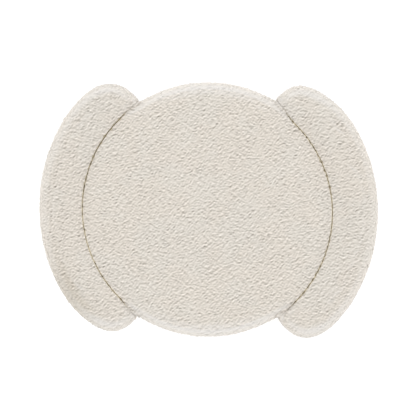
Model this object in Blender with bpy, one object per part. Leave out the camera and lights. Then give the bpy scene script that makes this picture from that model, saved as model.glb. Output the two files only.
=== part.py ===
"""A round upholstered ottoman with two crescent bolsters that hug its seat.

Metres, +Z up. The origin is on the floor, under the middle of the round seat.
+X runs from one crescent to the other, +Y along the open front and back of the seat.
Each of the three upholstered masses is one filled solid: it is built as rings that climb
from a flat underside, up a full side, over a rolled top edge and in to a crowned top.
"""

import math
from collections import namedtuple

import bmesh
import bpy
from mathutils import Vector

# Driving dimensions, in metres
EDGE_HEIGHT = 0.421  # floor to the top of the rolled edges
SEAT_RADIUS = 0.3442  # the seat's free edge, between the crescents
SEAT_CROWN = 0.009  # how far the middle of the seat stands above its edge
CRESCENT_CROWN = 0.006  # the same, across a crescent
OPEN_ROLL = 0.031  # radius of the rolled top edge where nothing presses on it
END_ROLL = 0.038  # the same on a crescent's bull-nosed ends
SEAM_ROLL = 0.007  # the same where the seat and a crescent press on each other
NOSE_ROLL = 0.026  # the same on a crescent's inner wall, at its very ends
HEM_EDGE = 0.010  # radius of the edge round the underside
SIDE_FULLNESS = 0.0015  # how far the sides draw in at their top and bottom
PIECE_GAP = 0.0009  # clearance between the seat's wall and a crescent's

# How many steps each stretch is drawn with
SEAT_STEPS = 96
WALL_STEPS = 14  # along a crescent, its corners left out
CORNER_STEPS = 16  # round each corner
ROLL_STEPS = 5  # rings over the rolled top edge
HEM_STEPS = 2
SIDE_STEPS = 3
TOP_STEPS = 3

# The crescents. facing is the angle of a crescent's middle; slide and seam_slide are how
# far the centres of its outer and inner walls lie along Y from the seat's; inner and outer
# are the walls' radii about them; before and after are the angles from its middle to its
# ends, clockwise and counter-clockwise from above; the corner columns are how far each
# end's round corner reaches along the crescent.
Crescent = namedtuple(
    "Crescent",
    "name facing slide seam_slide inner outer before after before_corner after_corner",
)
CRESCENTS = (
    Crescent(
        name="crescent_left",
        facing=math.pi,
        slide=0.0054,
        seam_slide=0.0033,
        inner=0.3354,
        outer=0.4555,
        before=math.radians(57.5),
        after=math.radians(56.5),
        before_corner=math.radians(23),
        after_corner=math.radians(27),
    ),
    Crescent(
        name="crescent_right",
        facing=0.0,
        slide=-0.0056,
        seam_slide=-0.0092,
        inner=0.3315,
        outer=0.4585,
        before=math.radians(57.3),
        after=math.radians(58.3),
        before_corner=math.radians(22),
        after_corner=math.radians(33),
    ),
)
CORNER_POWER = 3.0  # 2 is an ellipse, more is a fuller corner
END_LEAN = math.radians(2.6)  # how much further an end reaches at the seat than at its tip
CORE_SETBACK = math.radians(11)  # how far a crescent's core line stops short of its ends
FLARE = math.radians(13)  # stretch at each end where a crescent's wall eases off the seat
NOSE = 0.008  # radius of the small corner where a crescent's end meets the seat

# The cover: linear RGB of a cream boucle
COVER_COLOUR = (0.716, 0.665, 0.597, 1.0)
COVER_ROUGHNESS = 0.95

# One station round a mass: its outermost point, the core point that its top closes on,
# the radius of its rolled top edge, and how much of the side's fullness it has
Station = namedtuple("Station", "rim core roll fullness")


def smooth(t):
    """0 to 1 with flat ends, for t from 0 to 1."""
    t = min(1.0, max(0.0, t))
    return t * t * (3 - 2 * t)


def blend(a, b, t):
    """From a to b as t goes from 0 to 1; numbers or points."""
    return a + (b - a) * t


def polar(radius, angle, slide=0.0):
    """A plan point at a radius and angle about the seat's middle, or that far along Y from it."""
    return Vector((radius * math.cos(angle), radius * math.sin(angle) + slide))


def inside_end(crescent, angle):
    """How far inside a crescent's nearer end an angle lies, in radians."""
    turn = math.remainder(angle - crescent.facing, math.tau)
    return min(crescent.before + turn, crescent.after - turn)


def hold(crescent, angle):
    """1 where a crescent presses on the seat, easing to 0 at its ends and beyond."""
    return smooth(inside_end(crescent, angle) / FLARE)


def seat_radius(crescent, angle):
    """The seat's radius near a crescent: pressed to its inner wall, free at its ends."""
    across = crescent.seam_slide * math.cos(angle)
    along = crescent.seam_slide * math.sin(angle)
    pressed = along + math.sqrt(crescent.inner**2 - across**2)
    return blend(SEAT_RADIUS, pressed, hold(crescent, angle))


def inner_radius(crescent, angle):
    """The crescent's inner wall: along the seat, then off it round a small nose at each end."""
    short = max(0.0, NOSE - inside_end(crescent, angle) * SEAT_RADIUS)
    nose = NOSE - math.sqrt(NOSE * NOSE - short * short)
    return seat_radius(crescent, angle) + PIECE_GAP + nose


def seat_walls():
    """The seat's one wall: a free circle, drawn in where each crescent holds it."""
    wall = []
    for i in range(SEAT_STEPS + 1):
        angle = math.tau * i / SEAT_STEPS
        crescent = max(CRESCENTS, key=lambda c: hold(c, angle))
        held = hold(crescent, angle)
        rim = polar(seat_radius(crescent, angle), angle)
        wall.append(Station(rim, Vector((0, 0)), blend(OPEN_ROLL, SEAM_ROLL, held), 1 - held))
    return [wall]


def corner_points():
    """Points round a corner from a crescent's end to its outer wall, end first.

    Each is how far along the corner it lies and how far out, both from 0 to 1.
    """
    points = []
    for i in range(CORNER_STEPS):
        along = (i / CORNER_STEPS) ** 2
        points.append((along, (1 - (1 - along) ** CORNER_POWER) ** (1 / CORNER_POWER)))
    return points


def crescent_walls(crescent):
    """A crescent's two walls: the outer one with its round corners, then back along the seat.

    Both have their stations at the same places along it, so they close on one core line.
    """
    first = crescent.facing - crescent.before + END_LEAN
    last = crescent.facing + crescent.after - END_LEAN

    # Each place is its angle on the core line, its angle on the walls, and how far out
    # and how open its outer wall is there
    places = []
    for along, out in corner_points():
        middle = first + crescent.before_corner * along
        places.append((middle, middle - END_LEAN * (1 - out), out, smooth(2 * along)))
    for i in range(WALL_STEPS + 1):
        share = i / WALL_STEPS
        middle = blend(first + crescent.before_corner, last - crescent.after_corner, share)
        places.append((middle, middle, 1.0, 1.0))
    for along, out in reversed(corner_points()):
        middle = last - crescent.after_corner * along
        places.append((middle, middle + END_LEAN * (1 - out), out, smooth(2 * along)))

    outside = []
    inside = []
    for middle, angle, out, openness in places:
        held = min(max(middle, first + CORE_SETBACK), last - CORE_SETBACK)
        core = polar((crescent.inner + crescent.outer) / 2, held, crescent.slide)
        wall = polar(inner_radius(crescent, angle), angle)
        rim = blend(wall, polar(crescent.outer, angle, crescent.slide), out)
        outside.append(Station(rim, core, blend(END_ROLL, OPEN_ROLL, openness), out))
        seam_roll = blend(NOSE_ROLL, SEAM_ROLL, hold(crescent, angle))
        inside.append(Station(wall, core, seam_roll, 0.0))
    return [outside, inside[::-1]]


def fall(distance, roll):
    """How far a rolled edge has dropped at a distance in from its wall."""
    short = max(0.0, roll - distance)
    return roll - math.sqrt(roll * roll - short * short)


def nearest(point, wall):
    """The distance from a plan point to a wall, and the wall's roll there."""
    best = None
    for a, b in zip(wall, wall[1:]):
        run = b.rim - a.rim
        t = min(1.0, max(0.0, (point - a.rim).dot(run) / run.length_squared))
        distance = (point - a.rim - run * t).length
        if best is None or distance < best[0]:
            best = (distance, blend(a.roll, b.roll, t))
    return best


def top_height(station, walls, inset, crown):
    """Height of the top at an inset from a station: crown, less the fall of each wall's roll."""
    inward = station.core - station.rim
    share = inset / inward.length
    point = station.rim + inward * share
    falls = [fall(*nearest(point, wall)) for wall in walls]
    return EDGE_HEIGHT + crown * (1 - (1 - share) ** 2) - math.hypot(*falls)


def upholstered(name, walls, crown):
    """One filled mass with a flat underside, full sides, a rolled top edge and a crown.

    Each wall ends at the point where the next one starts.
    """
    bm = bmesh.new()
    stations = [station for wall in walls for station in wall[:-1]]
    tops = [top_height(station, walls, 0.0, crown) for station in stations]
    reaches = [(station.core - station.rim).length for station in stations]
    rings = []

    def add_ring(insets, heights):
        """One closed ring of points, each at its inset from its station and its height."""
        points = []
        for station, inset, height in zip(stations, insets, heights):
            inward = (station.core - station.rim).normalized()
            place = station.rim + inward * inset
            points.append(bm.verts.new((place.x, place.y, height)))
        rings.append(points)

    add_ring(reaches, [0.0] * len(stations))
    for i in range(HEM_STEPS + 1):
        turn = 0.5 * math.pi * i / HEM_STEPS
        tuck = HEM_EDGE * (1 - math.sin(turn))
        rise = HEM_EDGE * (1 - math.cos(turn))
        add_ring([tuck + SIDE_FULLNESS * s.fullness for s in stations], [rise] * len(stations))
    for i in range(1, SIDE_STEPS + 1):
        up = i / (SIDE_STEPS + 1)
        slack = SIDE_FULLNESS * (1 - math.sin(math.pi * up))
        add_ring([slack * s.fullness for s in stations], [blend(HEM_EDGE, top, up) for top in tops])
    for i in range(ROLL_STEPS + TOP_STEPS + 1):
        turn = 0.5 * math.pi * min(1.0, i / ROLL_STEPS)
        share = max(0.0, (i - ROLL_STEPS) / TOP_STEPS)
        insets = []
        heights = []
        for station, reach in zip(stations, reaches):
            inset = blend(station.roll * (1 - math.cos(turn)), reach, share)
            slack = SIDE_FULLNESS * station.fullness
            insets.append(blend(slack, reach, inset / reach))
            heights.append(top_height(station, walls, inset, crown))
        add_ring(insets, heights)

    for lower, upper in zip(rings, rings[1:]):
        for i in range(len(lower)):
            j = (i + 1) % len(lower)
            bm.faces.new((lower[i], lower[j], upper[j], upper[i]))
    bmesh.ops.remove_doubles(bm, verts=bm.verts, dist=0.00005)
    bmesh.ops.dissolve_degenerate(bm, edges=bm.edges, dist=0.00005)
    bmesh.ops.recalc_face_normals(bm, faces=bm.faces)
    bmesh.ops.triangulate(bm, faces=bm.faces)

    mesh = bpy.data.meshes.new(name)
    bm.to_mesh(mesh)
    bm.free()
    mesh.shade_smooth()
    mesh.materials.append(cover(name + "_boucle"))
    bpy.context.scene.collection.objects.link(bpy.data.objects.new(name, mesh))


def cover(name):
    """The matt cloth cover of one mass."""
    material = bpy.data.materials.new(name)
    material.use_nodes = True
    shader = material.node_tree.nodes["Principled BSDF"]
    shader.inputs["Base Color"].default_value = COVER_COLOUR
    shader.inputs["Roughness"].default_value = COVER_ROUGHNESS
    shader.inputs["Metallic"].default_value = 0.0
    return material


def build():
    """The whole ottoman: the seat and its two crescents."""
    for old in list(bpy.data.objects):
        bpy.data.objects.remove(old)
    upholstered("seat_drum", seat_walls(), SEAT_CROWN)
    for crescent in CRESCENTS:
        upholstered(crescent.name, crescent_walls(crescent), CRESCENT_CROWN)


build()
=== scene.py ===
"""A round upholstered ottoman hugged by two crescent bolsters, dressed in cream boucle.

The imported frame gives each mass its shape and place. Each is padded by a short cloth
simulation under pressure, and its cover gets the curls of the cloth as relief.
Lengths are in metres. Bearings are in degrees, counter-clockwise from +X about the
middle of the seat.
"""

import math

import bpy
import numpy as np
from bpy.props import (
    FloatProperty,
    FloatVectorProperty,
    IntProperty,
    PointerProperty,
)
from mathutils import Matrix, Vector
from mathutils.bvhtree import BVHTree


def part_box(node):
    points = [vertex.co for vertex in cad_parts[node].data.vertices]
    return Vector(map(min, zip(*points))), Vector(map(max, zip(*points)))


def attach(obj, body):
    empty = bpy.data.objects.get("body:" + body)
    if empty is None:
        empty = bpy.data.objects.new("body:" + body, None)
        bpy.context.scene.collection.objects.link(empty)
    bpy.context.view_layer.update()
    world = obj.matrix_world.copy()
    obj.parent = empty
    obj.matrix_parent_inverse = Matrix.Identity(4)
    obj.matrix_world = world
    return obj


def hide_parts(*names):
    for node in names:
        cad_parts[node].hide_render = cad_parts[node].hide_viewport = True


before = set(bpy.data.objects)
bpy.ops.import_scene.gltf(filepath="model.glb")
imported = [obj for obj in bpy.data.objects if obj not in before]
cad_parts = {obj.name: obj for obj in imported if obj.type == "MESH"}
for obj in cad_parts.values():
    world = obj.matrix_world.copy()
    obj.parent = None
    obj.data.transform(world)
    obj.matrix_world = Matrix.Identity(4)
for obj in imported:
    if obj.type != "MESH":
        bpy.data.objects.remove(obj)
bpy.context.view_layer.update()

bl_info = {
    "name": "Boucle Ottoman",
    "version": (1, 0, 0),
    "blender": (4, 5, 0),
    "location": "View3D > Sidebar > Ottoman",
    "description": "Upholsters a round ottoman and its two crescent bolsters in cream boucle",
    "category": "Add Mesh",
}

SEAT = "seat_drum"
CRESCENTS = ("crescent_left", "crescent_right")
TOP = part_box(SEAT)[1].z

# The upholstery of each CAD node: its name and the seed of its curls
PIECES = {
    SEAT: ("seat_upholstery", 11),
    "crescent_left": ("left_crescent_upholstery", 31),
    "crescent_right": ("right_crescent_upholstery", 57),
}


class PaddingSettings(bpy.types.PropertyGroup):
    """How the padding under the cover swells."""

    grid: FloatProperty(
        name="Cloth Grid",
        description="Spacing of the cloth's points before it is refined",
        default=0.0062,
        min=0.004,
        max=0.02,
        unit="LENGTH",
    )
    tuck: FloatProperty(
        name="Tuck",
        description="How much smaller than its finished shape a mass starts",
        default=0.0015,
        min=0.0,
        max=0.02,
        unit="LENGTH",
    )
    pressure: FloatProperty(
        name="Pressure",
        description="Pressure of the padding on the cover",
        default=6.0,
        min=0.0,
    )
    travel: FloatProperty(
        name="Travel",
        description="How far the padding may push the cover out",
        default=0.005,
        min=0.0,
        max=0.03,
        unit="LENGTH",
    )
    steps: IntProperty(
        name="Steps",
        description="Frames that the padding swells for",
        default=20,
        min=2,
        max=60,
    )


class BoucleSettings(bpy.types.PropertyGroup):
    """The cover's cloth."""

    spacing: FloatProperty(
        name="Curl Spacing",
        description="Distance from one curl of the yarn to the next",
        default=0.0100,
        min=0.004,
        max=0.04,
        unit="LENGTH",
    )
    height: FloatProperty(
        name="Curl Height",
        description="How far a curl stands out of the cloth",
        default=0.00078,
        min=0.0,
        max=0.004,
        unit="LENGTH",
    )
    lie: FloatProperty(
        name="Lie",
        description="Angle of the curls to the X axis",
        default=math.radians(15),
        subtype="ANGLE",
    )
    cream: FloatVectorProperty(
        name="Cream",
        description="Colour of the yarn",
        default=(0.716, 0.665, 0.597),
        min=0.0,
        max=1.0,
        subtype="COLOR",
    )


class StageSettings(bpy.types.PropertyGroup):
    """The floor and the light."""

    floor: FloatVectorProperty(
        name="Floor",
        description="Colour of the floor",
        default=(0.5, 0.5, 0.5),
        min=0.0,
        max=1.0,
        subtype="COLOR",
    )
    floor_glow: FloatProperty(
        name="Floor Glow",
        description="Light that the floor gives of its own, as a lit sweep does",
        default=0.55,
        min=0.0,
    )
    surround: FloatProperty(
        name="Surround",
        description="Brightness of the white surroundings",
        default=0.68,
        min=0.0,
    )
    horizon: FloatProperty(
        name="Horizon",
        description="How much brighter the surroundings are low down than overhead",
        default=1.8,
        min=0.0,
    )
    window: FloatProperty(
        name="Window",
        description="Strength of the wide soft light beyond the far edge",
        default=0.795,
        min=0.0,
    )
    reflector: FloatProperty(
        name="Reflector",
        description="Strength of the soft light from the near edge",
        default=0.575,
        min=0.0,
    )


class OttomanSettings(bpy.types.PropertyGroup):
    """Everything that can be set on the ottoman."""

    padding: PointerProperty(type=PaddingSettings)
    boucle: PointerProperty(type=BoucleSettings)
    stage: PointerProperty(type=StageSettings)


# ---------------------------------------------------------------- helpers

# The waves that make ripples: how many, and the natural logarithms of their least and
# greatest length as a share of the spacing
WAVES = 110
WAVE_LENGTHS = (-0.25, 0.6)


def ramp(values, low, high):
    """0 at or under low, 1 at or over high, with flat ends."""
    t = np.clip((np.asarray(values, float) - low) / (high - low), 0.0, 1.0)
    return t * t * (3 - 2 * t)


def fade(values, low, high):
    """1 at or under low, 0 at or over high, with flat ends."""
    return 1.0 - ramp(values, low, high)


def bearings(points):
    """The bearing of each point about the middle of the seat, in radians."""
    return np.arctan2(points[:, 1], points[:, 0])


def away_from(points, bearing):
    """The angle of each point from a bearing in degrees: radians, either way round."""
    turn = bearings(points) - math.radians(bearing)
    return np.remainder(turn + math.pi, math.tau) - math.pi


def hump(points, bearing, spread):
    """1 at a bearing, easing to 0 on both sides of it; bearing and spread in degrees."""
    return np.exp(-0.5 * (away_from(points, bearing) / math.radians(spread)) ** 2)


def ripples(across, up, spacing, lie, spread, seed, waves=WAVES):
    """Short wavy ridges over a plane, about one high: many waves that run across the lie."""
    random = np.random.default_rng(seed)
    total = np.zeros(len(across))
    for _ in range(waves):
        length = spacing * math.exp(random.uniform(*WAVE_LENGTHS))
        way = lie + 0.5 * math.pi + random.normal(0.0, spread)
        phase = random.uniform(0.0, math.tau)
        pace = math.tau / length
        total += np.cos(pace * (across * math.cos(way) + up * math.sin(way)) + phase)
    return total * math.sqrt(2.0 / waves)


def select_only(obj):
    """Makes obj the one selected and active object."""
    if bpy.context.object and bpy.context.object.mode != "OBJECT":
        bpy.ops.object.mode_set(mode="OBJECT")
    bpy.ops.object.select_all(action="DESELECT")
    obj.select_set(True)
    bpy.context.view_layer.objects.active = obj


def places(obj):
    """The places of a mesh's vertices, one row each."""
    flat = np.empty(3 * len(obj.data.vertices), np.float32)
    obj.data.vertices.foreach_get("co", flat)
    return flat.reshape(-1, 3).astype(float)


def put(obj, points):
    """Moves a mesh's vertices to the given places."""
    obj.data.vertices.foreach_set("co", points.astype(np.float32).ravel())
    obj.data.update()


def normals(obj):
    """The normals at a mesh's vertices, one row each."""
    flat = np.empty(3 * len(obj.data.vertices), np.float32)
    obj.data.vertex_normals.foreach_get("vector", flat)
    return flat.reshape(-1, 3).astype(float)


def solid_of(nodes):
    """A search tree of the faces of some CAD nodes."""
    points, faces = [], []
    for name in nodes:
        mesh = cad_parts[name].data
        start = len(points)
        points += [v.co.copy() for v in mesh.vertices]
        faces += [[start + i for i in p.vertices] for p in mesh.polygons]
    return BVHTree.FromPolygons(points, faces)


def gap_to(tree, points, furthest=0.05):
    """How far each point is from the faces of a search tree, up to a furthest distance."""
    gaps = np.full(len(points), furthest)
    for i, point in enumerate(points):
        hit = tree.find_nearest(Vector(point), furthest)
        if hit[0] is not None:
            gaps[i] = hit[3]
    return gaps


# ---------------------------------------------------------------- padding

DOUBLES = 0.00002  # points of a solid that are this close are one point

# Evening out the grid: rounds of smoothing, each followed by a slightly stronger push
# back, so that the piece doesn't shrink
EVEN_PASSES = 6
EVEN_OUT = 0.6
EVEN_BACK = -0.62
ON_FLOOR = 0.2  # share of the grid's spacing under which a point lies on the floor

# What never shows: walls this close to a neighbour and this far below the top, and the
# underside. Only a share of the faces is left there.
HIDDEN_GAP = 0.0035
HIDDEN_DEPTH = 0.045
UNDERSIDE = 0.001
FACING_DOWN = -0.98
HIDDEN_SHARE = 0.06

# The cover is held up to the first gap from a neighbour and the first height above the
# floor, and is free to swell from the second
LOOSE_GAPS = (0.003, 0.020)
LOOSE_HEIGHTS = (0.004, 0.030)

# The cover as the simulation takes it
CLOTH_QUALITY = 4
STRETCH_STIFFNESS = 15
BEND_STIFFNESS = 0.5
HOLD_LEVELS = 10  # steps from free to held

# Where a crescent's outer corner is fuller: the bearing, the spread, and by how much
CORNERS = (
    (51.5, 4.5, 0.0050),
    (308.0, 4.5, 0.0065),
    (231.0, 4.5, 0.0050),
    (130.0, 4.0, 0.0015),
)
CORNER_GAPS = (0.010, 0.040)  # gaps to the seat over which the fullness sets in


def copy_solid(node, name):
    """A closed mesh of its own with the shape of a CAD node."""
    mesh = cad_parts[node].data.copy()
    mesh.name = name
    mesh.materials.clear()
    piece = bpy.data.objects.new(name, mesh)
    bpy.context.scene.collection.objects.link(piece)
    select_only(piece)
    bpy.ops.object.mode_set(mode="EDIT")
    bpy.ops.mesh.select_all(action="SELECT")
    bpy.ops.mesh.remove_doubles(threshold=DOUBLES)
    bpy.ops.mesh.customdata_custom_splitnormals_clear()
    bpy.ops.mesh.normals_make_consistent(inside=False)
    bpy.ops.object.mode_set(mode="OBJECT")
    return piece


def regrid(piece, spacing):
    """Redraws the piece as an even grid of quads, its underside flat on the floor."""
    select_only(piece)
    piece.data.remesh_voxel_size = spacing
    piece.data.remesh_voxel_adaptivity = 0.0
    bpy.ops.object.voxel_remesh()
    bpy.ops.object.mode_set(mode="EDIT")
    bpy.ops.mesh.select_all(action="SELECT")
    for _ in range(EVEN_PASSES):
        bpy.ops.mesh.vertices_smooth(factor=EVEN_OUT)
        bpy.ops.mesh.vertices_smooth(factor=EVEN_BACK)
    bpy.ops.object.mode_set(mode="OBJECT")
    points = places(piece)
    points[points[:, 2] < ON_FLOOR * spacing, 2] = 0.0
    put(piece, points)


def never_shows(piece, gaps):
    """True for the points of a piece that stand against a neighbour or on the floor."""
    height = places(piece)[:, 2]
    against = (gaps < HIDDEN_GAP) & (height < TOP - HIDDEN_DEPTH)
    beneath = (height < UNDERSIDE) & (normals(piece)[:, 2] < FACING_DOWN)
    return against | beneath


def thin_out(piece, hidden, share):
    """Leaves only a share of the faces where the piece never shows."""
    select_only(piece)
    bpy.ops.object.mode_set(mode="EDIT")
    bpy.ops.mesh.select_mode(type="VERT")
    bpy.ops.object.mode_set(mode="OBJECT")
    mesh = piece.data
    mesh.polygons.foreach_set("select", np.zeros(len(mesh.polygons), bool))
    mesh.edges.foreach_set("select", np.zeros(len(mesh.edges), bool))
    mesh.vertices.foreach_set("select", hidden)
    bpy.ops.object.mode_set(mode="EDIT")
    bpy.ops.mesh.decimate(ratio=share)
    bpy.ops.object.mode_set(mode="OBJECT")


def hold(piece, held):
    """A vertex group that holds the cover still, fully where held is 1."""
    group = piece.vertex_groups.new(name="held")
    for level in range(1, HOLD_LEVELS + 1):
        chosen = np.flatnonzero(np.round(held * HOLD_LEVELS) == level)
        group.add([int(i) for i in chosen], level / HOLD_LEVELS, "REPLACE")
    return group


def swell(piece, held, padding):
    """Lets the padding push the cover out for a few steps, no further than its travel."""
    scene = bpy.context.scene
    start = places(piece)
    group = hold(piece, held)
    select_only(piece)
    bpy.ops.object.modifier_add(type="CLOTH")
    cloth = piece.modifiers[-1]
    settings = cloth.settings
    settings.quality = CLOTH_QUALITY
    settings.vertex_group_mass = group.name
    settings.use_pressure = True
    settings.uniform_pressure_force = padding.pressure
    settings.tension_stiffness = STRETCH_STIFFNESS
    settings.compression_stiffness = STRETCH_STIFFNESS
    settings.bending_stiffness = BEND_STIFFNESS
    settings.effector_weights.gravity = 0.0
    cloth.point_cache.frame_start = 1
    cloth.point_cache.frame_end = padding.steps
    scene.frame_start = 1
    scene.frame_end = padding.steps
    for step in range(1, padding.steps + 1):
        scene.frame_set(step)
    bpy.ops.object.modifier_apply(modifier=cloth.name)
    scene.frame_set(1)

    # Only what moved outwards stays, and it tails off towards the travel
    moved = places(piece) - start
    put(piece, start)
    facing = normals(piece)
    outward = np.einsum("ij,ij->i", moved, facing)
    moved -= facing * np.minimum(outward, 0.0)[:, None]
    length = np.linalg.norm(moved, axis=1)
    allowed = padding.travel * np.tanh(length / padding.travel)
    moved *= (allowed / np.maximum(length, 1e-9))[:, None]
    put(piece, start + moved)
    piece.vertex_groups.clear()


def refine(piece):
    """One subdivision, applied."""
    select_only(piece)
    bpy.ops.object.modifier_add(type="SUBSURF")
    fine = piece.modifiers[-1]
    fine.levels = 1
    fine.render_levels = 1
    fine.boundary_smooth = "PRESERVE_CORNERS"
    bpy.ops.object.modifier_apply(modifier=fine.name)


def fill_the_corners(piece, gaps):
    """Rounds out the outer corners of the crescents with a little more padding."""
    points = places(piece)
    outward = normals(piece) * (1.0, 1.0, 0.0)
    for bearing, spread, fuller in CORNERS:
        swollen = fuller * hump(points, bearing, spread)
        points += outward * (swollen * ramp(gaps, *CORNER_GAPS))[:, None]
    put(piece, points)


# ---------------------------------------------------------------- seam

# How far the seam between the seat and the crescents is closed: 1 is a fine line, and
# under 0 its walls draw apart
SEAM_TIGHT = 0.85
SEAM_RANGE = (-1.2, 1.1)  # its least and its most

# How it wavers along the seam
SEAM_RAGGED = 0.55  # by how much
SEAM_WAVER = 0.014  # the length of a waver
SEAM_LIE = 1.571  # so that its waves run along the seam
SEAM_SPREAD = 0.2
SEAM_WAVES = 40
SEAM_SEED = 5
SEAM_RADIUS = 0.339  # of the seam, about the middle of the seat

# Where the seam is looser: the bearing, the spread, and by how much. Under 0 is tighter.
SEAM_LOOSER = (
    (147.0, 13.0, 2.2),
    (-24.0, 14.0, 0.40),
    (25.0, 12.0, 0.30),
    (197.0, 15.0, -0.6),
    (0.0, 8.0, -0.4),
)

# The bearings of the four places where a crescent's end leaves the seat, and how far in
# degrees each is felt along the seam
NOTCHES = (58.0, 122.5, 237.0, 302.5)
NOTCH_REACH = (5.0, 12.0)

# The level of the top beside the seam is read at these gaps, where it faces up
BESIDE_SEAM = (0.009, 0.014)
FACING_UP = 0.9

# The edge at the seam ends over these gaps to the neighbour and these drops from the top
EDGE_GAPS = (0.004, 0.010)
EDGE_DROPS = (0.006, 0.012)
MOST_FILLED = 0.95  # the greatest share of the drop that is filled out

# The walls press on each other up to these gaps, and close this share of them
MOUTH = 0.002
NOTCH_MOUTH = (0.003, 0.006)
PRESS = 0.3
NOTCH_PRESS = 0.1  # more at a notch

# The valley between the rolled edges at a notch, which is made shallow
VALLEY_DEPTH = 0.006
VALLEY_GAPS = (0.004, 0.022)
VALLEY_DROPS = (0.030, 0.045)

# The gentle dip of the whole top towards the seam
SEAM_DIP = 0.0025
DIP_GAPS = (0.0, 0.024)
DIP_DROPS = (0.010, 0.040)


def nearness_to_notch(points):
    """1 close to a place where a crescent's end leaves the seat, easing to 0 along the seam."""
    reach = [math.radians(angle) for angle in NOTCH_REACH]
    return np.max([fade(np.abs(away_from(points, notch)), *reach) for notch in NOTCHES], axis=0)


def tightness(points):
    """How far the seam is closed at the bearing of each point."""
    tight = np.full(len(points), SEAM_TIGHT)
    for bearing, spread, loosened in SEAM_LOOSER:
        tight -= loosened * hump(points, bearing, spread)
    along = SEAM_RADIUS * bearings(points)
    up = np.zeros(len(points))
    waver = ripples(along, up, SEAM_WAVER, SEAM_LIE, SEAM_SPREAD, SEAM_SEED, SEAM_WAVES)
    return np.clip(tight + SEAM_RAGGED * waver, *SEAM_RANGE)


def close_the_seam(piece, gaps):
    """Presses the piece on its neighbour along the top of the seam.

    The top dips gently towards the seam. Its edge there is filled out, so that the pieces
    meet in a fine line, and the valley between their ends is never deep.
    """
    points = places(piece)
    facing = normals(piece)
    beside = (gaps > BESIDE_SEAM[0]) & (gaps < BESIDE_SEAM[1]) & (facing[:, 2] > FACING_UP)
    drop = np.maximum(np.median(points[beside, 2]) - points[:, 2], 0.0)
    tight = tightness(points)
    ends = nearness_to_notch(points)
    near = fade(gaps, *EDGE_GAPS) * fade(drop, *EDGE_DROPS)

    pressed = tight * near * (gaps < MOUTH)
    pressed += (1.0 - pressed) * ends * fade(gaps, *NOTCH_MOUTH)
    points += facing * ((PRESS + NOTCH_PRESS * ends) * gaps * pressed)[:, None]

    filled = drop * np.clip(tight, 0.0, MOST_FILLED) * near
    shallow = VALLEY_DEPTH * np.tanh(drop / VALLEY_DEPTH)
    valley = (drop - shallow) * fade(gaps, *VALLEY_GAPS) * fade(drop, *VALLEY_DROPS)
    points[:, 2] += np.maximum(filled, valley)
    points[:, 2] -= SEAM_DIP * fade(gaps, *DIP_GAPS) * fade(drop, *DIP_DROPS)
    put(piece, points)


# ---------------------------------------------------------------- boucle

# The curls of the top give way to those of the side as the surface turns down: the upward
# part of its normal, from all side to all top
SIDE_TO_TOP = (0.52, 0.84)
CURL_SPREAD = math.radians(40)  # how much the curls' directions vary
# The curls' relief also sets their tone: deeper where they are low, partly the yarn's own tone
# and partly painted shade in the hollows between them
CURL_SHADE = 0.15  # how much of the curls' relief goes into their tone

# A slow unevenness under the curls
SWAY_HEIGHT = 0.0001
SWAY_LENGTH = 0.11
SWAY_LIE = 0.4
SWAY_SPREAD = 1.4  # it lies almost any way
SWAY_SHIFT = (0.7, 0.6)  # how far it moves along X and Y with height
SWAY_WAVES = 24

# The curls rise away from a neighbour and from the floor, and fill no more than a share of
# the gap
FREE_GAPS = (0.0003, 0.0025)
FREE_HEIGHTS = (0.001, 0.010)
GAP_SHARE = 0.35

# Painted shade: the cloth in the seam is coloured darker and browner
SEAM_SHADE_GAPS = (0.0012, 0.0045)  # gaps over which the shade in the seam fades out

# Painted highlight on the rolled edges: over a bend the cloth is made paler and whiter, most
# where it faces along Y
RIM_LIGHT_SHARE = 0.75  # how much at most
BEND_TURNS = (0.0, 0.12)  # it sets in as the surface turns down from level
BEND_LESS_AT_SIDE = 0.6  # how much less it is on an upright side
BEND_LEAST = 0.2  # its share where the surface faces along X
BEND_ALONG_Y = 0.8  # how much more where it faces along Y
BEND_GAPS = (0.020, 0.035)  # gaps to a neighbour over which it sets in
BEND_AT_NOTCH = 0.8  # its share at a notch, whatever the gap

# Painted shade on part of the outer edge, deeper round a bearing: the bearing and the
# spread, and the radii over which it sets in
SHADED_EDGE = (211.5, 9.0)
SHADED_EDGE_RADII = (0.390, 0.425)

# The side's pattern runs along the outline. A piece whose middle is nearer the seat's than
# this is round. A crescent's pattern turns in round its ends, over about this angle.
OFF_CENTRE = 0.1
END_TURN = 0.3


def along_the_side(points):
    """How far along the piece's outline each point lies, measured at its side."""
    middle = points.mean(axis=0)
    is_round = np.hypot(*middle[:2]) < OFF_CENTRE
    facing = 0.0 if is_round else math.atan2(middle[1], middle[0])
    turn = np.remainder(bearings(points) - facing + math.pi, math.tau) - math.pi
    radius = np.hypot(points[:, 0], points[:, 1])
    reach = radius.max()
    return reach * turn + np.tanh(turn / END_TURN) * (reach - radius)


def keep(piece, name, kind, values):
    """Keeps a value for each point of a piece, for its material to read."""
    attribute = piece.data.attributes.new(name, kind, "POINT")
    field = "vector" if kind == "FLOAT_VECTOR" else "value"
    attribute.data.foreach_set(field, np.asarray(values, np.float32).ravel())


def rim_light_of(facing, side, gaps, ends):
    """How much painted highlight a rolled edge takes: more over a bend and where it faces along
    Y.
    """
    level = np.maximum(np.hypot(facing[:, 0], facing[:, 1]), 1e-6)
    along_y = np.abs(facing[:, 1]) / level
    rim_light = ramp(1.0 - facing[:, 2], *BEND_TURNS) * (1.0 - BEND_LESS_AT_SIDE * side)
    rim_light *= BEND_LEAST + BEND_ALONG_Y * along_y**2
    where = ramp(gaps, *BEND_GAPS) * (1.0 - ends) + BEND_AT_NOTCH * ends
    return RIM_LIGHT_SHARE * rim_light * where


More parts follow.
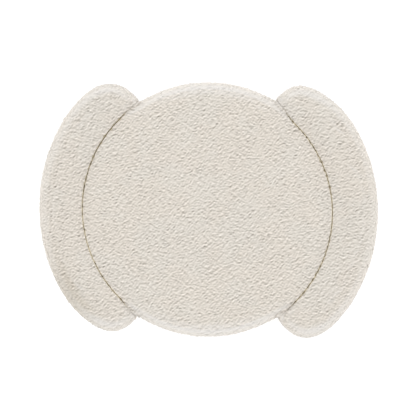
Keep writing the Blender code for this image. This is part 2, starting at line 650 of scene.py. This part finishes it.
def cover_with_boucle(piece, gaps, boucle, seed):
    """Raises the curls on the piece and keeps their relief as an attribute of its points, with
    the masks for the painted shade and highlights of its cloth.
    """
    points = places(piece)
    facing = normals(piece)
    x, y, z = points.T
    along = along_the_side(points)
    side = fade(facing[:, 2], *SIDE_TO_TOP)
    relief = (1.0 - side) * ripples(x, y, boucle.spacing, boucle.lie, CURL_SPREAD, seed)
    relief += side * ripples(along, z, boucle.spacing, boucle.lie, CURL_SPREAD, seed + 1)
    relief /= np.hypot(side, 1.0 - side)
    sway = ripples(
        x + SWAY_SHIFT[0] * z,
        y + SWAY_SHIFT[1] * z,
        SWAY_LENGTH,
        SWAY_LIE,
        SWAY_SPREAD,
        seed + 3,
        SWAY_WAVES,
    )
    free = ramp(gaps, *FREE_GAPS) * ramp(z, *FREE_HEIGHTS)
    lift = (relief * boucle.height + sway * SWAY_HEIGHT) * free
    lift = np.minimum(lift, GAP_SHARE * gaps)
    put(piece, points + facing * lift[:, None])

    ends = nearness_to_notch(points)
    # Painted shade on the outer edge round a bearing, kept below as a mask for the material
    flat = hump(points, *SHADED_EDGE) * ramp(np.hypot(x, y), *SHADED_EDGE_RADII)
    # Tone from the curls' relief: deeper where they are low, partly painted shade in the
    # hollows
    keep(piece, "curl", "FLOAT", 0.5 + CURL_SHADE * relief * free)
    keep(piece, "side", "FLOAT", side)
    # Painted shade in the seam, kept as a mask for the material
    keep(piece, "seam", "FLOAT", fade(gaps, *SEAM_SHADE_GAPS) * (1.0 - ends))
    # Painted highlight on the rolled edges, kept as a mask for the material
    keep(piece, "rim_light", "FLOAT", rim_light_of(facing, side, gaps, ends))
    keep(piece, "edge_shade", "FLOAT", flat)
    keep(piece, "band", "FLOAT_VECTOR", np.stack((along, z, np.zeros(len(z))), axis=1))


def upholster(node):
    """A padded piece in boucle that stands for a CAD node."""
    name, seed = PIECES[node]
    settings = bpy.context.scene.ottoman
    padding = settings.padding
    others = solid_of(n for n in PIECES if n != node)
    piece = copy_solid(node, name)
    regrid(piece, padding.grid)
    thin_out(piece, never_shows(piece, gap_to(others, places(piece))), HIDDEN_SHARE)

    points = places(piece)
    gaps = gap_to(others, points)
    loose = ramp(gaps, *LOOSE_GAPS) * ramp(points[:, 2], *LOOSE_HEIGHTS)
    put(piece, points - normals(piece) * (padding.tuck * loose)[:, None])
    swell(piece, 1.0 - loose, padding)
    refine(piece)

    gaps = gap_to(others, places(piece))
    fill_the_corners(piece, gaps)
    close_the_seam(piece, gaps)
    cover_with_boucle(piece, gaps, settings.boucle, seed)
    piece.data.shade_smooth()
    # The crescents take a painted shade: a deeper copy of the seat's cream
    piece.data.materials.append(boucle_cloth(name, 1.0 if node == SEAT else CRESCENT_PAINTED_SHADE))
    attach(piece, "root")
    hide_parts(node)


# ---------------------------------------------------------------- cloth material

# Painted shade: the crescents' cream is made a little deeper than the seat's, a shaded copy of
# the same cloth
CRESCENT_PAINTED_SHADE = 0.98  # the crescents' cream, as a share of the seat's

# Colours of the cloth, as shares of the cream. The deep tone between the curls is partly
# painted shade in their hollows. The pale tone over a bend is a painted highlight on the rolled
# edges, and the tone in the seam is painted shade.
TINTS = {
    "Shade Between Curls": (0.27, 0.26, 0.225),
    "Yarn": (1.345, 1.35, 1.385),
    "Patch": (1.33, 1.355, 1.405),
    "Painted Rim Light": (0.89, 0.93, 1.0),
    "Painted Seam Shade": (0.88, 0.83, 0.66),
}
# The painted shade on part of the outer edge, as a share of the colour under it
SHADED_EDGE_TINT = (0.85, 0.835, 0.80)  # a share of the colour under it

# The small loops of yarn between the large curls. Their low parts take the deeper tone, which
# is partly painted shade in the hollows.
LOOPS_PER_METRE = 82.0
LOOP_PITCH = 1.6  # waves in each loop
LOOP_ORDER = 0.5  # from 0, all directions, to 1, one direction
LOOP_DEPTH = 0.0030
LOOP_TONES = (0.05, 0.95)  # the heights that take the deepest and the palest tone
SMALL_SHARE = 0.64  # how much of the tone they give, and the large curls the rest

# The faint patches of another tone
PATCHES_PER_METRE = 13.0
PATCH_DETAIL = 2.0
PATCH_EDGE = (0.42, 0.62)  # the noise over which one tone passes into the other


def add(nodes, kind, values=None, **settings):
    """A shader node with its settings, and values for its inputs by name."""
    node = nodes.new(kind)
    for key, value in settings.items():
        setattr(node, key, value)
    for name, value in (values or {}).items():
        node.inputs[name].default_value = value
    return node


def feed(links, node, sources):
    """Links an output to each named input of a node."""
    for name, source in sources.items():
        links.new(source, node.inputs[name])


def new_group(name, inputs, outputs):
    """An empty node group with named sockets: (name, kind, default) in, (name, kind) out."""
    group = bpy.data.node_groups.new(name, "ShaderNodeTree")
    for label, kind, default in inputs:
        socket = group.interface.new_socket(label, in_out="INPUT", socket_type=kind)
        socket.default_value = default
    for label, kind in outputs:
        group.interface.new_socket(label, in_out="OUTPUT", socket_type=kind)
    into = group.nodes.new("NodeGroupInput").outputs
    out = group.nodes.new("NodeGroupOutput").inputs
    return group, into, out


def fine_curl_group():
    """Small loops of yarn between the large curls: a height."""
    if "Fine Curls" in bpy.data.node_groups:
        return bpy.data.node_groups["Fine Curls"]
    group, into, out = new_group(
        "Fine Curls",
        (
            ("Top", "NodeSocketVector", (0.0, 0.0, 0.0)),
            ("Band", "NodeSocketVector", (0.0, 0.0, 0.0)),
            ("Side", "NodeSocketFloat", 0.0),
            ("Loops per Metre", "NodeSocketFloat", LOOPS_PER_METRE),
            ("Order", "NodeSocketFloat", LOOP_ORDER),
            ("Lie", "NodeSocketFloat", 0.0),
        ),
        (("Height", "NodeSocketFloat"),),
    )
    nodes, links = group.nodes, group.links
    either = add(nodes, "ShaderNodeMix", data_type="FLOAT")
    feed(links, either, {"Factor": into["Side"]})
    for surface, socket in (("Top", "A"), ("Band", "B")):
        loops = add(nodes, "ShaderNodeTexGabor", {"Frequency": LOOP_PITCH}, gabor_type="2D")
        sources = {
            "Vector": into[surface],
            "Scale": into["Loops per Metre"],
            "Anisotropy": into["Order"],
            "Orientation": into["Lie"],
        }
        feed(links, loops, sources)
        feed(links, either, {socket: loops.outputs["Value"]})
    links.new(either.outputs["Result"], out["Height"])
    return group


def cloth_tone_group():
    """Colour of the yarn: paler on the curls and deeper between them, partly painted shade in
    the hollows, with faint patches, a painted highlight on the rolled edges, painted shade on
    part of the outer edge and painted shade in the seam.
    """
    if "Cloth Tone" in bpy.data.node_groups:
        return bpy.data.node_groups["Cloth Tone"]
    group, into, out = new_group(
        "Cloth Tone",
        (
            ("Vector", "NodeSocketVector", (0.0, 0.0, 0.0)),
            ("Curl", "NodeSocketFloat", 0.5),
            ("Small Curl", "NodeSocketFloat", 0.5),
            ("Small Share", "NodeSocketFloat", SMALL_SHARE),
            ("Yarn", "NodeSocketColor", (0.7, 0.66, 0.6, 1.0)),
            ("Shade Between Curls", "NodeSocketColor", (0.5, 0.46, 0.4, 1.0)),
            ("Patch", "NodeSocketColor", (0.7, 0.68, 0.6, 1.0)),
            ("Bend", "NodeSocketFloat", 0.0),
            ("Painted Rim Light", "NodeSocketColor", (0.8, 0.8, 0.78, 1.0)),
            ("Painted Edge Shade", "NodeSocketFloat", 0.0),
            ("Painted Edge Shade Tint", "NodeSocketColor", (*SHADED_EDGE_TINT, 1.0)),
            ("Seam", "NodeSocketFloat", 0.0),
            ("Painted Seam Shade", "NodeSocketColor", (0.3, 0.27, 0.18, 1.0)),
        ),
        (("Color", "NodeSocketColor"),),
    )
    nodes, links = group.nodes, group.links

    def mix(kind, factor, first, second, **settings):
        """The result of a Mix node between two sockets."""
        node = add(nodes, "ShaderNodeMix", data_type=kind, **settings)
        feed(links, node, {"Factor": factor, "A": first, "B": second})
        return node.outputs["Result"]

    def stretch(value, limits, easing):
        """A value between two limits made one from 0 to 1."""
        ends = {"From Min": limits[0], "From Max": limits[1]}
        node = add(nodes, "ShaderNodeMapRange", ends, interpolation_type=easing)
        feed(links, node, {"Value": value})
        return node.outputs["Result"]

    pattern = {"Scale": PATCHES_PER_METRE, "Detail": PATCH_DETAIL}
    patches = add(nodes, "ShaderNodeTexNoise", pattern, noise_dimensions="3D")
    feed(links, patches, {"Vector": into["Vector"]})
    patchy = stretch(patches.outputs["Fac"], PATCH_EDGE, "SMOOTHSTEP")
    yarn = mix("RGBA", patchy, into["Yarn"], into["Patch"])
    small = stretch(into["Small Curl"], LOOP_TONES, "LINEAR")
    curls = mix("FLOAT", into["Small Share"], into["Curl"], small)
    # Deeper where the curls are low: partly the yarn's own tone, partly painted shade in the
    # hollows
    cloth = mix("RGBA", curls, into["Shade Between Curls"], yarn)
    # Painted highlight on the rolled edges
    cloth = mix("RGBA", into["Bend"], cloth, into["Painted Rim Light"])
    # Painted shade on part of the outer edge
    cloth = mix("RGBA", into["Painted Edge Shade"], cloth, into["Painted Edge Shade Tint"], blend_type="MULTIPLY")
    # Painted shade in the seam
    cloth = mix("RGBA", into["Seam"], cloth, into["Painted Seam Shade"])
    links.new(cloth, out["Color"])
    return group


def boucle_cloth(name, shade):
    """The boucle of one piece, its cream made deeper by a shade under 1, which is painted
    shade.
    """
    boucle = bpy.context.scene.ottoman.boucle
    material = bpy.data.materials.new(name)
    material.use_nodes = True
    nodes, links = material.node_tree.nodes, material.node_tree.links

    def kept(attribute, output="Fac"):
        """What is kept under a name on the points of the piece."""
        node = add(
            nodes, "ShaderNodeAttribute", attribute_name=attribute, attribute_type="GEOMETRY"
        )
        return node.outputs[output]

    where = add(nodes, "ShaderNodeTexCoord").outputs["Object"]
    loops = add(
        nodes,
        "ShaderNodeGroup",
        {
            "Loops per Metre": LOOPS_PER_METRE,
            "Order": LOOP_ORDER,
            "Lie": boucle.lie + 0.5 * math.pi,
        },
        node_tree=fine_curl_group(),
    )
    feed(links, loops, {"Top": where, "Band": kept("band", "Vector"), "Side": kept("side")})

    # A shade under 1 is painted shade: a deeper copy of the same cream
    cream = Vector(boucle.cream) * shade
    colours = {
        socket: (cream.x * tint[0], cream.y * tint[1], cream.z * tint[2], 1.0)
        for socket, tint in TINTS.items()
    }
    tone = add(nodes, "ShaderNodeGroup", colours, node_tree=cloth_tone_group())
    sources = {
        "Vector": where,
        "Curl": kept("curl"),
        "Small Curl": loops.outputs["Height"],
        # Masks of painted light: the highlight on the rolled edges, the shade on the outer edge
        # and the shade in the seam
        "Bend": kept("rim_light"),
        "Painted Edge Shade": kept("edge_shade"),
        "Seam": kept("seam"),
    }
    feed(links, tone, sources)

    bump = add(nodes, "ShaderNodeBump", {"Strength": 1.0, "Distance": LOOP_DEPTH})
    feed(links, bump, {"Height": loops.outputs["Height"]})
    shader = nodes["Principled BSDF"]
    shader.inputs["Roughness"].default_value = 0.95
    shader.inputs["Specular IOR Level"].default_value = 0.15
    shader.inputs["Sheen Weight"].default_value = 0.4
    shader.inputs["Sheen Roughness"].default_value = 0.35
    shader.inputs["Sheen Tint"].default_value = (1.0, 1.0, 1.0, 1.0)
    feed(links, shader, {"Base Color": tone.outputs["Color"], "Normal": bump.outputs["Normal"]})
    return material


# ---------------------------------------------------------------- stage

FLOOR_SIZE = 14.0
FLOOR_LEVEL = -0.0005  # just under the ottoman, so that the two never share a plane

# The two soft lights: the bearing each comes from, and what they share
WINDOW_BEARING = 110.0
REFLECTOR_BEARING = 300.0
LIGHT_CLIMB = 36.0  # degrees above the floor
LIGHT_WIDTH = 40.0  # how wide it looks, in degrees
LIGHT_DISTANCE = 4.0

# The camera: where it hangs, the level it is framed for and how far above that it is, and
# the width seen there
CAMERA_X = -0.0003
CAMERA_Y = 0.0041
FRAMED_LEVEL = 0.400
CAMERA_RISE = 4.2
WIDTH_SEEN = 1.1148
SENSOR = 36.0  # millimetres


def lay_floor(settings):
    """A large pale floor that glows a little, as a lit white sweep does."""
    bpy.ops.object.select_all(action="DESELECT")
    bpy.ops.mesh.primitive_plane_add(size=FLOOR_SIZE, location=(0.0, 0.0, FLOOR_LEVEL))
    floor = bpy.context.object
    floor.name = "floor"
    material = bpy.data.materials.new("floor")
    material.use_nodes = True
    shader = material.node_tree.nodes["Principled BSDF"]
    shader.inputs["Base Color"].default_value = (*settings.floor, 1.0)
    shader.inputs["Roughness"].default_value = 0.9
    shader.inputs["Emission Color"].default_value = (1.0, 1.0, 1.0, 1.0)
    shader.inputs["Emission Strength"].default_value = settings.floor_glow
    floor.data.materials.append(material)


def light_the_room(settings):
    """White surroundings, brighter low down, and two wide soft lights, far and near."""
    world = bpy.data.worlds.new("surround")
    world.use_nodes = True
    nodes, links = world.node_tree.nodes, world.node_tree.links
    way = add(nodes, "ShaderNodeTexCoord")
    part = add(nodes, "ShaderNodeSeparateXYZ")
    feed(links, part, {"Vector": way.outputs["Generated"]})
    glow = {"To Min": 1.0 + settings.horizon, "To Max": 1.0}
    lift = add(nodes, "ShaderNodeMapRange", glow)
    feed(links, lift, {"Value": part.outputs["Z"]})
    back = nodes["Background"]
    back.inputs["Strength"].default_value = settings.surround
    feed(links, back, {"Color": lift.outputs["Result"]})
    bpy.context.scene.world = world
    soft_sun("window", settings.window, WINDOW_BEARING)
    soft_sun("reflector", settings.reflector, REFLECTOR_BEARING)


def soft_sun(name, strength, bearing):
    """A wide soft light that comes from a bearing."""
    around = math.radians(bearing)
    rise = math.tan(math.radians(LIGHT_CLIMB))
    place = Vector((math.cos(around), math.sin(around), rise)) * LIGHT_DISTANCE
    bpy.ops.object.light_add(type="SUN", location=place)
    light = bpy.context.object
    light.name = name
    light.data.energy = strength
    light.data.angle = math.radians(LIGHT_WIDTH)
    light.rotation_euler = (-place).to_track_quat("-Z", "Y").to_euler()


def hang_camera():
    """A long lens straight above, with the far side of the ottoman up."""
    place = (CAMERA_X, CAMERA_Y, FRAMED_LEVEL + CAMERA_RISE)
    bpy.ops.object.camera_add(location=place, rotation=(0.0, 0.0, 0.0))
    camera = bpy.context.object
    camera.name = "camera"
    camera.data.sensor_width = SENSOR
    camera.data.lens = SENSOR * CAMERA_RISE / WIDTH_SEEN
    bpy.context.scene.camera = camera


# ---------------------------------------------------------------- operators


class OTTOMAN_OT_seat(bpy.types.Operator):
    """Pads the round seat and covers it with boucle"""

    bl_idname = "ottoman.seat"
    bl_label = "Upholster the Seat"

    def execute(self, context):
        upholster(SEAT)
        return {"FINISHED"}


class OTTOMAN_OT_crescents(bpy.types.Operator):
    """Pads both crescent bolsters and covers them with boucle"""

    bl_idname = "ottoman.crescents"
    bl_label = "Upholster the Crescents"

    def execute(self, context):
        for node in CRESCENTS:
            upholster(node)
        return {"FINISHED"}


class OTTOMAN_OT_stage(bpy.types.Operator):
    """Lays the floor, sets the soft light and hangs the camera straight above"""

    bl_idname = "ottoman.stage"
    bl_label = "Set the Stage"

    def execute(self, context):
        settings = context.scene.ottoman.stage
        lay_floor(settings)
        light_the_room(settings)
        hang_camera()
        context.scene.view_settings.view_transform = "Standard"
        return {"FINISHED"}


class OTTOMAN_PT_panel(bpy.types.Panel):
    """Lists the steps that make the ottoman and their settings"""

    bl_idname = "OTTOMAN_PT_panel"
    bl_label = "Boucle Ottoman"
    bl_space_type = "VIEW_3D"
    bl_region_type = "UI"
    bl_category = "Ottoman"

    def draw(self, context):
        settings = context.scene.ottoman
        for step in STEPS:
            self.layout.operator(step)
        for group in (settings.padding, settings.boucle, settings.stage):
            box = self.layout.box()
            for name in group.__annotations__:
                box.prop(group, name)


STEPS = ("ottoman.seat", "ottoman.crescents", "ottoman.stage")
CLASSES = (
    PaddingSettings,
    BoucleSettings,
    StageSettings,
    OttomanSettings,
    OTTOMAN_OT_seat,
    OTTOMAN_OT_crescents,
    OTTOMAN_OT_stage,
    OTTOMAN_PT_panel,
)


def register():
    """Adds the steps, their panel and their settings to Blender."""
    for cls in CLASSES:
        bpy.utils.register_class(cls)
    bpy.types.Scene.ottoman = PointerProperty(type=OttomanSettings)


def unregister():
    """Takes them out again."""
    del bpy.types.Scene.ottoman
    for cls in reversed(CLASSES):
        bpy.utils.unregister_class(cls)


def main():
    """Makes the ottoman and its stage."""
    register()
    bpy.ops.ottoman.seat()
    bpy.ops.ottoman.crescents()
    bpy.ops.ottoman.stage()


if __name__ == "__main__":
    main()
